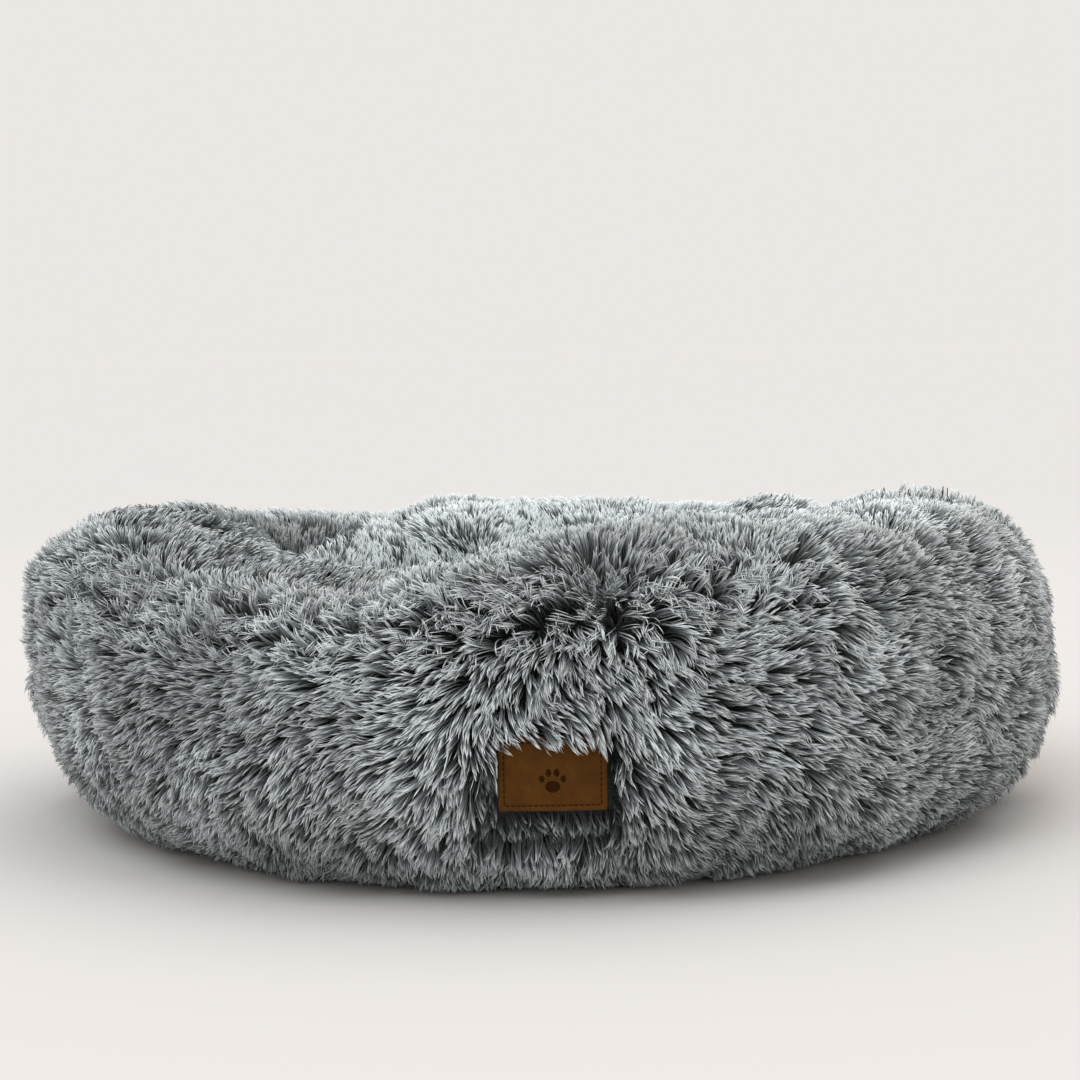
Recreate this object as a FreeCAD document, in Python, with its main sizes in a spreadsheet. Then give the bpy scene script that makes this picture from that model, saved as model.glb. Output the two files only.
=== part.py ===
import FreeCAD, Part
import math
import os
import Sketcher

# A round pet cushion bed: a fat fur-covered bolster ring round a loose fur-topped cushion.
# The frame stands at the middle of the underside, +Z up, with the leather tag facing -Y and
# the cover's zip let into the back of the ring, facing +Y. All lengths are millimetres.

SIZES = [
    # the ring
    ("nest_radius", 190, "inside radius of the nest, to the tips of the pile"),
    ("rim_width", 188, "width of the ring, pile included"),
    ("rim_height", 213, "height of the ring's crest above the base fabric's top"),
    ("pile_depth", 24, "thickness of the long-pile fur fabric"),
    ("foot_overlap", 2.06, "how far the filled tube's foot stands on the base binding"),
    ("casing_thickness", 1.2, "thickness of the woven inner casings"),
    # the base
    ("grip_dot_height", 0.8, "height of the grip dots under the coating film"),
    ("grip_dot_radius", 2.5, "radius of one grip dot"),
    ("grip_dot_pitch", 38, "distance between the circles of grip dots"),
    ("grip_film", 0.4, "thickness of the grip coating's film"),
    ("base_thickness", 1.6, "thickness of the base fabric"),
    ("binding_width", 10, "width of the tape that binds the base seam"),
    ("nest_floor_thickness", 1.2, "thickness of the lining under the loose cushion"),
    # the loose cushion
    ("cushion_gap", 1.0, "clearance between the cushion and the ring's inner wall"),
    ("cushion_rest_gap", 0.3, "clearance between the cushion and the nest's floor"),
    ("cushion_height", 92, "height of the cushion at its middle"),
    ("cushion_shoulder", 62, "height of the cushion at its edge"),
    ("cushion_seam_height", 18, "height of the seam between fur and underside"),
    # the leather tag
    ("tag_width", 65, "width of the tag"),
    ("tag_height", 45, "height of the tag"),
    ("tag_thickness", 1.8, "thickness of the tag's leather"),
    ("tag_middle_height", 84.5, "height of the tag's middle above the floor"),
    ("tag_side_offset", 4.5, "distance of the tag's middle from the ring's front line"),
    ("tag_recess", 12, "depth of the clipped patch that the tag is sewn into"),
    ("tag_margin", 3, "clipped fur left free around the tag"),
    ("stitch_inset", 3.5, "distance of the stitching from the tag's edge"),
    ("stitch_width", 0.8, "width of the stitching"),
    ("stitch_height", 0.5, "height of the stitching above the leather"),
    # the care label
    ("label_length", 34, "length of the care label that shows outside the seam"),
    ("label_width", 26, "width of the care label"),
    ("label_thickness", 0.5, "thickness of the folded care label"),
    ("label_angle", 60, "direction of the care label, anticlockwise from the back"),
    # the zip
    ("zip_height", 72, "height of the zip above the floor"),
    ("zip_channel_height", 26, "height of the clipped channel that the zip lies in"),
    ("zip_channel_angle", 92, "angle that the channel spans"),
    ("channel_backing", 0.5, "fabric left over the filled tube in the clipped channel"),
    ("zip_chain_angle", 86, "angle that the two coils span"),
    ("zip_stop_angle", 0.6, "angle that each end stop spans"),
    ("zip_park_angle", 40, "angle of the closed slider from the back, anticlockwise"),
    ("zip_floor_gap", 3.0, "room behind the tapes for the slider's lower plate"),
    ("tape_thickness", 0.6, "thickness of the zip's tapes"),
    ("coil_width", 2.6, "width of one coil of the zip"),
    ("coil_depth", 1.8, "depth of one coil of the zip"),
    ("chain_gap", 1.4, "running gap between the coils for the slider's post"),
    ("slider_length", 13, "length of the slider along the zip"),
    ("slider_width", 11, "width of the slider across the zip"),
    ("slider_plate", 1.2, "thickness of each plate of the slider"),
    ("slider_clearance", 0.4, "clearance between the slider's plates and the tapes or coils"),
    ("post_width", 0.8, "width of the post that joins the slider's plates"),
    ("lug_width", 2.4, "width of the lug that carries the pull"),
    ("pull_height", 2.2, "height of the pull's pivot above the slider's plate"),
    ("pin_radius", 0.72, "radius of the pull's pin"),
    ("pin_clearance", 0.08, "radial clearance of the pin in the lug"),
    ("lug_wall", 1.0, "wall of the lug round the pin"),
    ("pull_length", 30, "length of the pull from its pivot"),
    ("pull_nose", 1.44, "length of the pull past its pivot"),
    ("pull_width", 7, "width of the pull"),
    ("pull_thickness", 1.6, "thickness of the pull"),
    ("pull_window", 6, "length of the pull's window from the pivot"),
    ("window_clearance", 0.3, "clearance between the lug and the sides of the window"),
]

FULL_TURN = 360
FIRST_ROW = 2
DOTS_PER_CIRCLE = 6


class Size:
    """A length with its number and the spreadsheet expression that it comes from."""

    def __init__(self, value, text):
        self.value = float(value)
        self.text = text

    def __add__(self, other):
        other = as_size(other)
        return Size(self.value + other.value, f"({self.text} + {other.text})")

    def __sub__(self, other):
        other = as_size(other)
        return Size(self.value - other.value, f"({self.text} - {other.text})")

    def __mul__(self, other):
        other = as_size(other)
        return Size(self.value * other.value, f"({self.text} * {other.text})")

    def __truediv__(self, other):
        other = as_size(other)
        return Size(self.value / other.value, f"({self.text} / {other.text})")

    def __neg__(self):
        return Size(-self.value, f"(0 - {self.text})")


def as_size(length):
    return length if isinstance(length, Size) else Size(length, repr(length))


def half_chord(radius, height):
    """Half the width of a circle at a height above or below its centre."""
    square = radius * radius - height * height
    return Size(math.sqrt(square.value), f"sqrt({square.text})")


def arc_through(side, foot, height):
    """Radius of an arc that is upright at side and passes foot at a height below that point."""
    across = side - foot
    return (across * across + height * height) / (across * 2)


full_turn = Size(FULL_TURN, str(FULL_TURN))

doc = FreeCAD.newDocument("pet_cushion_bed")
sheet = doc.addObject("Spreadsheet::Sheet", "sizes")
size = {}
for row, (alias, value, meaning) in enumerate(SIZES, FIRST_ROW):
    sheet.set(f"A{row}", meaning)
    sheet.set(f"B{row}", str(value))
    sheet.setAlias(f"B{row}", alias)
    size[alias] = Size(value, f"sizes.{alias}")
doc.recompute()


# Places worked out from the sheet, shared by the pieces that meet there.
outer_radius = size["nest_radius"] + size["rim_width"]
film_top = size["grip_dot_height"] + size["grip_film"]
base_top = film_top + size["base_thickness"]
crest_height = base_top + size["rim_height"]
tube_radius = crest_height / 2
crest_radius = outer_radius - tube_radius
inner_arc = crest_radius - size["nest_radius"]
inner_middle = crest_height - inner_arc
foot_radius = crest_radius + half_chord(tube_radius, tube_radius - base_top)

fill_side = outer_radius - size["pile_depth"]
fill_crest = crest_height - size["pile_depth"]
fill_foot = foot_radius - size["binding_width"] + size["foot_overlap"]
fill_arc = arc_through(fill_side, fill_foot, tube_radius - base_top)
fill_arc_middle = fill_side - fill_arc
fill_inside = size["nest_radius"] + size["pile_depth"]

nest_floor_top = base_top + size["nest_floor_thickness"]
cushion_bottom = nest_floor_top + size["cushion_rest_gap"]
cushion_radius = size["nest_radius"] - size["cushion_gap"]
core_radius = cushion_radius - size["pile_depth"]

tag_floor = outer_radius - size["tag_recess"]
tag_face = tag_floor + size["tag_thickness"]

channel_floor = fill_side + size["channel_backing"]
channel_low = size["zip_height"] - size["zip_channel_height"] / 2
channel_high = size["zip_height"] + size["zip_channel_height"] / 2
tape_back = channel_floor + size["zip_floor_gap"]
tape_front = tape_back + size["tape_thickness"]
coil_front = tape_front + size["coil_depth"]
plate_back = coil_front + size["slider_clearance"]
plate_front = plate_back + size["slider_plate"]
pivot_radius = plate_front + size["pull_height"]


def new_body(label):
    body = doc.addObject("PartDesign::Body", label)
    body.Label = label
    return body


def new_sketch(body, name, plane, offset=None):
    """A sketch on one of the body's own origin planes, moved out along its normal by offset."""
    sketch = body.newObject("Sketcher::SketchObject", name)
    for feature in body.Origin.OriginFeatures:
        if feature.Role == plane:
            sketch.AttachmentSupport = (feature, "")
    sketch.MapMode = "FlatFace"
    if offset is not None:
        sketch.setExpression("AttachmentOffset.Base.z", offset.text)
    return sketch


def hold(sketch, kind, element, point, length):
    """Tie one coordinate of a point to its length: a number is only a first guess, left free."""
    if not isinstance(length, Size):
        return
    index = sketch.addConstraint(Sketcher.Constraint(kind, -1, 1, element, point, length.value))
    sketch.setExpression(f"Constraints[{index}]", length.text)


def number(length):
    return length.value if isinstance(length, Size) else float(length)


def outline(sketch, corners, arcs=None):
    """Close a loop through the corners. arcs maps a corner's place in the list to the centre of
    the arc that starts there; every other side is straight. A coordinate given as a plain number
    is only a first guess that the loop's other sizes settle, except 0, which is on the axis."""
    arcs = arcs or {}
    count = len(corners)
    ends = []
    for place, corner in enumerate(corners):
        following = corners[(place + 1) % count]
        start = FreeCAD.Vector(number(corner[0]), number(corner[1]), 0)
        stop = FreeCAD.Vector(number(following[0]), number(following[1]), 0)
        if place not in arcs:
            element = sketch.addGeometry(Part.LineSegment(start, stop), False)
            ends.append((element, 1, 2))
            continue
        middle = FreeCAD.Vector(number(arcs[place][0]), number(arcs[place][1]), 0)
        from_angle = math.atan2(start.y - middle.y, start.x - middle.x)
        to_angle = math.atan2(stop.y - middle.y, stop.x - middle.x)
        turn = (to_angle - from_angle + math.pi) % (2 * math.pi) - math.pi
        circle = Part.Circle(middle, FreeCAD.Vector(0, 0, 1), start.distanceToPoint(middle))
        if turn > 0:
            arc = Part.ArcOfCircle(circle, from_angle, from_angle + turn)
            ends.append((sketch.addGeometry(arc, False), 1, 2))
        else:
            arc = Part.ArcOfCircle(circle, to_angle, to_angle - turn)
            ends.append((sketch.addGeometry(arc, False), 2, 1))
        hold(sketch, "DistanceY", ends[-1][0], 3, arcs[place][1])
        if isinstance(arcs[place][0], Size):
            hold(sketch, "DistanceX", ends[-1][0], 3, arcs[place][0])
        else:
            sketch.addConstraint(Sketcher.Constraint("PointOnObject", ends[-1][0], 3, -2))
    for place in range(count):
        element, _, stop_point = ends[place]
        following, start_point, _ = ends[(place + 1) % count]
        joint = Sketcher.Constraint("Coincident", element, stop_point, following, start_point)
        sketch.addConstraint(joint)
    for place, corner in enumerate(corners):
        element, start_point, _ = ends[place]
        if isinstance(corner[0], int) and corner[0] == 0:
            sketch.addConstraint(Sketcher.Constraint("PointOnObject", element, start_point, -2))
        else:
            hold(sketch, "DistanceX", element, start_point, corner[0])
        hold(sketch, "DistanceY", element, start_point, corner[1])


def rectangle(sketch, left, right, low, high):
    outline(sketch, [(left, low), (right, low), (right, high), (left, high)])


def spin(body, sketch, kind="PartDesign::Revolution", angle=None):
    """Turn a sketch about the ring's axis: all the way, or angle degrees centred on the back."""
    feature = body.newObject(kind, f"{sketch.Name}_turn")
    feature.Profile = sketch
    feature.ReferenceAxis = (sketch, ["V_Axis"])
    feature.Angle = FULL_TURN
    if angle is not None:
        feature.Midplane = True
        feature.setExpression("Angle", angle.text)
    return feature


def turned(label, corners, arcs=None, angle=None, hollow=None):
    """A piece turned about the ring's axis; hollow is the outline of a void inside it."""
    body = new_body(label)
    sketch = new_sketch(body, f"{label}_section", "YZ_Plane")
    outline(sketch, corners, arcs)
    if hollow:
        outline(sketch, *hollow)
    spin(body, sketch, angle=angle)
    return body


def pad(body, sketch, length, both_ways=False, backwards=False):
    feature = body.newObject("PartDesign::Pad", f"{sketch.Name}_pad")
    feature.Profile = sketch
    feature.Midplane = both_ways
    feature.Reversed = backwards
    feature.setExpression("Length", length.text)
    return feature


def ring_band(label, inner, outer, low, high, angle=None):
    """A piece of rectangular section, turned about the ring's axis."""
    return turned(label, [(inner, low), (outer, low), (outer, high), (inner, high)], angle=angle)


def disc(label, radius, low, high):
    return turned(label, [(0, low), (radius, low), (radius, high), (0, high)])


# The bolster ring: two fur panels that meet along the crest, round a filled casing.

def fill_outline(inset):
    """The filled tube's section, moved in by inset from the inside of the fur."""
    foot = fill_arc_middle + half_chord(fill_arc - inset, tube_radius - base_top - inset)
    corners = [
        (crest_radius, fill_crest - inset),
        ((fill_side - inset).value, tube_radius),
        (foot.value, base_top + inset),
        (fill_inside + inset, base_top + inset),
        ((fill_inside + inset).value, inner_middle),
    ]
    arcs = {
        0: (crest_radius, tube_radius),
        1: (fill_arc_middle, tube_radius),
        4: (crest_radius, inner_middle),
    }
    return corners, arcs


def outer_wall_fur():
    """The outer fur panel, with a clipped channel for the zip and a clipped patch for the tag."""
    body = new_body("outer_wall_fur")
    section = new_sketch(body, "outer_wall_section", "YZ_Plane")
    corners = [
        (crest_radius, crest_height),
        (foot_radius.value, base_top),
        (fill_foot.value, base_top),
        (fill_side, tube_radius),
        (crest_radius, fill_crest.value),
    ]
    arcs = {
        0: (crest_radius, tube_radius),
        2: (fill_arc_middle, tube_radius),
        3: (crest_radius, tube_radius),
    }
    outline(section, corners, arcs)
    spin(body, section)

    channel = new_sketch(body, "zip_channel", "YZ_Plane")
    rectangle(channel, channel_floor, outer_radius + size["pile_depth"], channel_low, channel_high)
    spin(body, channel, "PartDesign::Groove", size["zip_channel_angle"])

    patch = new_sketch(body, "tag_patch_clipping", "XZ_Plane", tag_floor)
    half_width = size["tag_width"] / 2 + size["tag_margin"]
    half_height = size["tag_height"] / 2 + size["tag_margin"]
    rectangle(
        patch,
        size["tag_side_offset"] - half_width,
        size["tag_side_offset"] + half_width,
        size["tag_middle_height"] - half_height,
        size["tag_middle_height"] + half_height,
    )
    clipping = body.newObject("PartDesign::Pocket", "tag_patch_cut")
    clipping.Profile = patch
    clipping.Reversed = True
    clipping.setExpression("Length", (size["tag_recess"] + size["pile_depth"]).text)
    return body


def inner_wall_fur():
    corners = [
        (crest_radius, crest_height),
        (size["nest_radius"].value, inner_middle),
        (size["nest_radius"], base_top),
        (fill_inside, base_top),
        (fill_inside, inner_middle),
        (crest_radius, fill_crest.value),
    ]
    arcs = {0: (crest_radius, inner_middle), 4: (crest_radius, inner_middle)}
    return turned("inner_wall_fur", corners, arcs)


def bolster_casing():
    corners, arcs = fill_outline(Size(0, "0"))
    return turned("bolster_casing", corners, arcs, hollow=fill_outline(size["casing_thickness"]))


def bolster_filling():
    corners, arcs = fill_outline(size["casing_thickness"])
    return turned("bolster_filling", corners, arcs)


# The base: grip coating, base fabric, bound seam, and the lining of the nest's floor.

def grip_coating():
    """A rubbery film with circles of raised dots, more dots on each wider circle."""
    body = new_body("grip_coating")
    film = new_sketch(body, "grip_film", "YZ_Plane")
    edge = foot_radius - size["binding_width"]
    low = size["grip_dot_height"]
    outline(film, [(0, low), (edge, low), (edge, film_top), (0, film_top)])
    spin(body, film)
    room = edge.value - 2 * size["grip_dot_radius"].value
    for circle in range(1, int(room / size["grip_dot_pitch"].value) + 1):
        dot = new_sketch(body, f"grip_dot_{circle}", "XY_Plane")
        reach = size["grip_dot_pitch"] * circle
        middle = FreeCAD.Vector(reach.value, 0, 0)
        ring = Part.Circle(middle, FreeCAD.Vector(0, 0, 1), size["grip_dot_radius"].value)
        element = dot.addGeometry(ring, False)
        dot.addConstraint(Sketcher.Constraint("PointOnObject", element, 3, -1))
        hold(dot, "DistanceX", element, 3, reach)
        radius = Sketcher.Constraint("Radius", element, size["grip_dot_radius"].value)
        held = dot.addConstraint(radius)
        dot.setExpression(f"Constraints[{held}]", size["grip_dot_radius"].text)
        raised = pad(body, dot, film_top)
        pattern = body.newObject("PartDesign::PolarPattern", f"grip_circle_{circle}")
        pattern.Originals = [raised]
        pattern.Axis = (dot, ["N_Axis"])
        pattern.Angle = FULL_TURN
        pattern.Occurrences = DOTS_PER_CIRCLE * circle
        body.Tip = pattern
    return body


def base_panel():
    return disc("base_panel", foot_radius - size["binding_width"], film_top, base_top)


def base_binding():
    inside = foot_radius - size["binding_width"]
    return ring_band("base_binding", inside, foot_radius, size["grip_dot_height"], base_top)


def nest_floor():
    return disc("nest_floor", size["nest_radius"], base_top, nest_floor_top)


def care_label():
    """A folded label that lies flat, caught under the bound seam and reaching out from it."""
    body = new_body("care_label")
    sketch = new_sketch(body, "care_label_plan", "XY_Plane")
    caught = foot_radius - size["binding_width"] / 2
    half = size["label_width"] / 2
    rectangle(sketch, -half, half, caught, foot_radius + size["label_length"])
    pad(body, sketch, size["label_thickness"])
    rise = size["grip_dot_height"] - size["label_thickness"]
    sketch.setExpression("AttachmentOffset.Base.z", rise.text)
    aim(body, size["label_angle"])
    return body


# The loose cushion: fur on top, plain cloth below, and a filled casing.

def core_outline(inset):
    """The cushion's filled core from the axis below, round its side, to the axis above."""
    side = core_radius - inset
    low = cushion_bottom + size["casing_thickness"] + inset
    bend = size["cushion_seam_height"] - size["casing_thickness"]
    seam = cushion_bottom + size["cushion_seam_height"]
    shoulder = cushion_bottom + size["cushion_shoulder"] - size["pile_depth"]
    top = cushion_bottom + size["cushion_height"] - size["pile_depth"] - inset
    corners = [(0, low), (core_radius - bend, low), (side.value, seam), (side, shoulder), (0, top)]
    arcs = {1: (core_radius - bend, seam), 3: dome_middle(side, shoulder, top)}
    return corners, arcs


def dome_middle(side, shoulder, top):
    """The centre, on the axis, of the arc from a shoulder to the top of a dome."""
    rise = (top - shoulder).value
    radius = (side.value ** 2 + rise ** 2) / (2 * rise)
    return 0.0, top.value - radius


def cushion_top_fur():
    seam = cushion_bottom + size["cushion_seam_height"]
    shoulder = cushion_bottom + size["cushion_shoulder"]
    top = cushion_bottom + size["cushion_height"]
    under_shoulder = shoulder - size["pile_depth"]
    under_top = top - size["pile_depth"]
    corners = [
        (cushion_radius, seam),
        (cushion_radius, shoulder),
        (0, top),
        (0, under_top),
        (core_radius, under_shoulder),
        (core_radius, seam),
    ]
    arcs = {
        1: dome_middle(cushion_radius, shoulder, top),
        3: dome_middle(core_radius, under_shoulder, under_top),
    }
    return turned("cushion_top_fur", corners, arcs)


def cushion_underside():
    """The cloth tray under the cushion, sewn to the fur at the seam's height."""
    cloth = size["casing_thickness"]
    seam = cushion_bottom + size["cushion_seam_height"]
    bend_middle = core_radius + cloth - size["cushion_seam_height"]
    corners = [
        (0, cushion_bottom),
        (bend_middle, cushion_bottom),
        ((core_radius + cloth).value, seam),
        (core_radius, seam),
        (bend_middle, (cushion_bottom + cloth).value),
        (0, cushion_bottom + cloth),
    ]
    arcs = {1: (bend_middle, seam), 3: (bend_middle, seam)}
    return turned("cushion_underside", corners, arcs)


def cushion_casing():
    """The core's skin: out along its outer outline and back along the filling's."""
    outer, outer_arcs = core_outline(Size(0, "0"))
    inner, inner_arcs = core_outline(size["casing_thickness"])
    last = len(outer) + len(inner) - 2
    arcs = dict(outer_arcs)
    arcs.update({last - place: middle for place, middle in inner_arcs.items()})
    return turned("cushion_casing", outer + inner[::-1], arcs)


def cushion_filling():
    corners, arcs = core_outline(size["casing_thickness"])
    return turned("cushion_filling", corners, arcs)


# The tag: a stitched leather patch on the front of the ring.

def leather_tag():
    body = new_body("leather_tag")
    sketch = new_sketch(body, "leather_tag_face", "XZ_Plane", tag_floor)
    half_width = size["tag_width"] / 2
    half_height = size["tag_height"] / 2
    middle = size["tag_side_offset"]
    height = size["tag_middle_height"]
    sides = (middle - half_width, middle + half_width, height - half_height, height + half_height)
    rectangle(sketch, *sides)
    pad(body, sketch, size["tag_thickness"])
    return body


def tag_stitching():
    """The thread that runs round the tag's face, as one raised line."""
    body = new_body("tag_stitching")
    sketch = new_sketch(body, "tag_stitching_face", "XZ_Plane", tag_face)
    for inset in (size["stitch_inset"], size["stitch_inset"] + size["stitch_width"]):
        half_width = size["tag_width"] / 2 - inset
        half_height = size["tag_height"] / 2 - inset
        rectangle(
            sketch,
            size["tag_side_offset"] - half_width,
            size["tag_side_offset"] + half_width,
            size["tag_middle_height"] - half_height,
            size["tag_middle_height"] + half_height,
        )
    pad(body, sketch, size["stitch_height"])
    return body


# The zip: two tapes with their coils, an end stop at each end, a slider and its pull.

def aim(body, angle):
    """Turn a piece drawn at the back of the ring anticlockwise to its own direction."""
    body.Placement = FreeCAD.Placement(
        FreeCAD.Vector(0, 0, 0), FreeCAD.Rotation(FreeCAD.Vector(0, 0, 1), angle.value)
    )
    body.setExpression("Placement.Rotation.Angle", angle.text)


def zip_tapes_and_coils():
    middle = size["zip_height"]
    near = size["chain_gap"] / 2
    far = near + size["coil_width"]
    channel = size["zip_channel_angle"]
    chain = size["zip_chain_angle"]
    return [
        ring_band("zip_tape_upper", tape_back, tape_front, middle + near, channel_high, channel),
        ring_band("zip_tape_lower", tape_back, tape_front, channel_low, middle - near, channel),
        ring_band("zip_coil_upper", tape_front, coil_front, middle + near, middle + far, chain),
        ring_band("zip_coil_lower", tape_front, coil_front, middle - far, middle - near, chain),
    ]


def zip_stop(label, angle):
    half = size["chain_gap"] / 2 + size["coil_width"]
    low = size["zip_height"] - half
    high = size["zip_height"] + half
    body = ring_band(label, tape_front, coil_front, low, high, size["zip_stop_angle"])
    aim(body, angle)
    return body


def zip_stops():
    reach = (size["zip_chain_angle"] + size["zip_stop_angle"]) / 2
    return [zip_stop("zip_top_stop", reach), zip_stop("zip_bottom_stop", full_turn - reach)]


def zip_slider():
    """Two plates joined by a thin post that runs between the coils, and a lug for the pull."""
    body = new_body("zip_slider")
    half = size["slider_width"] / 2
    post = size["post_width"] / 2
    middle = size["zip_height"]
    under_front = tape_back - size["slider_clearance"]
    under_back = under_front - size["slider_plate"]
    section = new_sketch(body, "slider_section", "YZ_Plane")
    corners = [
        (under_back, middle - half),
        (under_front, middle - half),
        (under_front, middle - post),
        (plate_back, middle - post),
        (plate_back, middle - half),
        (plate_front, middle - half),
        (plate_front, middle + half),
        (plate_back, middle + half),
        (plate_back, middle + post),
        (under_front, middle + post),
        (under_front, middle + half),
        (under_back, middle + half),
    ]
    outline(section, corners)
    degrees = size["slider_length"] / coil_front * (FULL_TURN / (2 * math.pi))
    spin(body, section, angle=degrees)

    lug = new_sketch(body, "slider_lug", "XY_Plane", middle)
    hole = size["pin_radius"] + size["pin_clearance"]
    reach = hole + size["lug_wall"]
    corners = [
        (-reach, plate_back + size["slider_plate"] / 2),
        (reach, plate_back + size["slider_plate"] / 2),
        (reach, pivot_radius + reach),
        (-reach, pivot_radius + reach),
    ]
    outline(lug, corners)
    eye = round_hole(lug, pivot_radius, hole)
    hold(lug, "DistanceY", eye, 3, pivot_radius)
    pad(body, lug, size["lug_width"], both_ways=True)
    aim(body, size["zip_park_angle"])
    return body


def round_hole(sketch, height, radius):
    """A circle on the sketch's vertical axis; the caller holds its height."""
    middle = FreeCAD.Vector(0, height.value, 0)
    ring = Part.Circle(middle, FreeCAD.Vector(0, 0, 1), radius.value)
    element = sketch.addGeometry(ring, False)
    sketch.addConstraint(Sketcher.Constraint("PointOnObject", element, 3, -2))
    held = sketch.addConstraint(Sketcher.Constraint("Radius", element, radius.value))
    sketch.setExpression(f"Constraints[{held}]", radius.text)
    return element


def zip_pull():
    """A flat tab with a window that straddles the slider's lug, and the pin across the window."""
    body = new_body("zip_pull")
    tab = new_sketch(body, "pull_tab", "XY_Plane", size["zip_height"])
    half_thickness = size["pull_thickness"] / 2
    low = pivot_radius - half_thickness
    high = pivot_radius + half_thickness
    rectangle(tab, -size["pull_nose"], size["pull_length"], low, high)
    pad(body, tab, size["pull_width"], both_ways=True)

    window = new_sketch(body, "pull_window", "XY_Plane", size["zip_height"])
    past = size["pull_nose"] + size["window_clearance"]
    rectangle(window, -past, size["pull_window"], low - half_thickness, high + half_thickness)
    opening = body.newObject("PartDesign::Pocket", "pull_window_cut")
    opening.Profile = window
    opening.Midplane = True
    room = size["lug_width"] + size["window_clearance"] * 2
    opening.setExpression("Length", room.text)

    pin = new_sketch(body, "pull_pin", "XY_Plane", size["zip_height"])
    ring = round_hole(pin, pivot_radius, size["pin_radius"])
    hold(pin, "DistanceY", ring, 3, pivot_radius)
    pad(body, pin, size["pull_width"], both_ways=True)
    aim(body, size["zip_park_angle"])
    return body


pieces = [
    outer_wall_fur(),
    inner_wall_fur(),
    bolster_casing(),
    bolster_filling(),
    grip_coating(),
    base_panel(),
    base_binding(),
    nest_floor(),
    care_label(),
    cushion_top_fur(),
    cushion_underside(),
    cushion_casing(),
    cushion_filling(),
    leather_tag(),
    tag_stitching(),
    *zip_tapes_and_coils(),
    *zip_stops(),
    zip_slider(),
    zip_pull(),
]
doc.recompute()

for thing in doc.Objects:
    if "Invalid" in thing.State or "Error" in thing.State:
        raise RuntimeError(f"{thing.Label} failed: {thing.State}")
    if thing.TypeId == "Sketcher::SketchObject" and not thing.FullyConstrained:
        raise RuntimeError(f"{thing.Label} isn't fully constrained")

os.makedirs("parts", exist_ok=True)
for piece in pieces:
    if piece.Shape.isNull() or not piece.Shape.isValid():
        raise RuntimeError(f"{piece.Label} has no valid shape")
for piece in pieces:
    piece.Shape.exportStep(f"parts/{piece.Label}.step")
print(f"{len(pieces)} pieces written")
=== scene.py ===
"""Looks of a round pet cushion bed: shaggy two-tone fur on a bolster ring and a loose cushion,
a stitched leather tag in front, and the cover's zip at the back. Lengths are metres."""
import math

import bpy
import numpy as np
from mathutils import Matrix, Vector


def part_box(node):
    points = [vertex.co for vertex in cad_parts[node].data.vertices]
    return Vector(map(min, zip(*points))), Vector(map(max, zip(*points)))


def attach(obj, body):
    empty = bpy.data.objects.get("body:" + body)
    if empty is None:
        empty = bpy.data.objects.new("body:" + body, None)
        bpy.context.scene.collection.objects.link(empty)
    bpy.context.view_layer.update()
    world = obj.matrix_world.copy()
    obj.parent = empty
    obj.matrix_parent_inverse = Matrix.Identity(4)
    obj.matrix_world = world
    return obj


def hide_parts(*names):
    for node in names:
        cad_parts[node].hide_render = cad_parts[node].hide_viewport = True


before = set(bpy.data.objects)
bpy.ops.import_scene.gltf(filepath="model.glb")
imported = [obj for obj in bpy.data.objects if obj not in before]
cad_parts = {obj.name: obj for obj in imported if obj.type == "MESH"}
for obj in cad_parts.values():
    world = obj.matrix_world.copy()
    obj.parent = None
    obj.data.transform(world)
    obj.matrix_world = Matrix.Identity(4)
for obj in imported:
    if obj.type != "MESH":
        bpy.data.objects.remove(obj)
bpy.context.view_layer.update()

SEED = 20261
rng = np.random.default_rng(SEED)

# ---- sizes read from the frame

wall_low, wall_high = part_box("outer_wall_fur")
filling_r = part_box("bolster_filling")[1][0]
cushion_low, cushion_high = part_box("cushion_top_fur")
tray_low, tray_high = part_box("cushion_underside")
tag_low, tag_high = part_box("leather_tag")
tape_low, tape_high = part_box("zip_tape_lower")
tape_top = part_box("zip_tape_upper")[1][2]
coil_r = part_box("zip_coil_upper")[1][1]

BACKING_THICK = 0.0012
OUTER = wall_high[0]
CREST_Z = wall_high[2]
TUBE = CREST_Z / 2
CREST_R = OUTER - TUBE
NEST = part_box("nest_floor")[1][0]
INNER_ARC = CREST_R - NEST
INNER_Z = CREST_Z - INNER_ARC
BASE_Z = wall_low[2]
PILE = OUTER - filling_r - BACKING_THICK
CUSHION_R = cushion_high[0]
CUSHION_TOP = cushion_high[2]
CUSHION_SEAM = cushion_low[2]

# The zip's channel is clipped into the back, this many degrees to each side.
CHANNEL_ANGLE = 46
CHANNEL_HALF = (tape_top - tape_low[2]) / 2
ZIP_MIDDLE = (tape_low[2] + tape_top) / 2
# How far the clipped backing stands off the filling there.
CHANNEL_SKIN = 0.0014

TAG_HALF = ((tag_high[0] - tag_low[0]) / 2, (tag_high[2] - tag_low[2]) / 2)
TAG_MIDDLE = ((tag_high[0] + tag_low[0]) / 2, (tag_high[2] + tag_low[2]) / 2)
TAG_BACK = tag_high[1]
TAG_THICK = tag_high[1] - tag_low[1]


# ---- helpers

def smooth(low, high, x):
    """0 below low, 1 above high, and an eased rise between."""
    t = np.clip((x - low) / (high - low), 0, 1)
    return t * t * (3 - 2 * t)


def bump(x, half_width):
    """1 at 0, easing to nothing at half_width to each side."""
    return np.where(np.abs(x) < half_width, 0.5 + 0.5 * np.cos(np.pi * x / half_width), 0.0)


def hill(x, middle, width):
    return np.exp(-((x - middle) / width) ** 2)


def around(theta, centre):
    """Signed degrees from centre to theta, the short way round."""
    return (np.degrees(theta) - centre + 180) % 360 - 180


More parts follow.
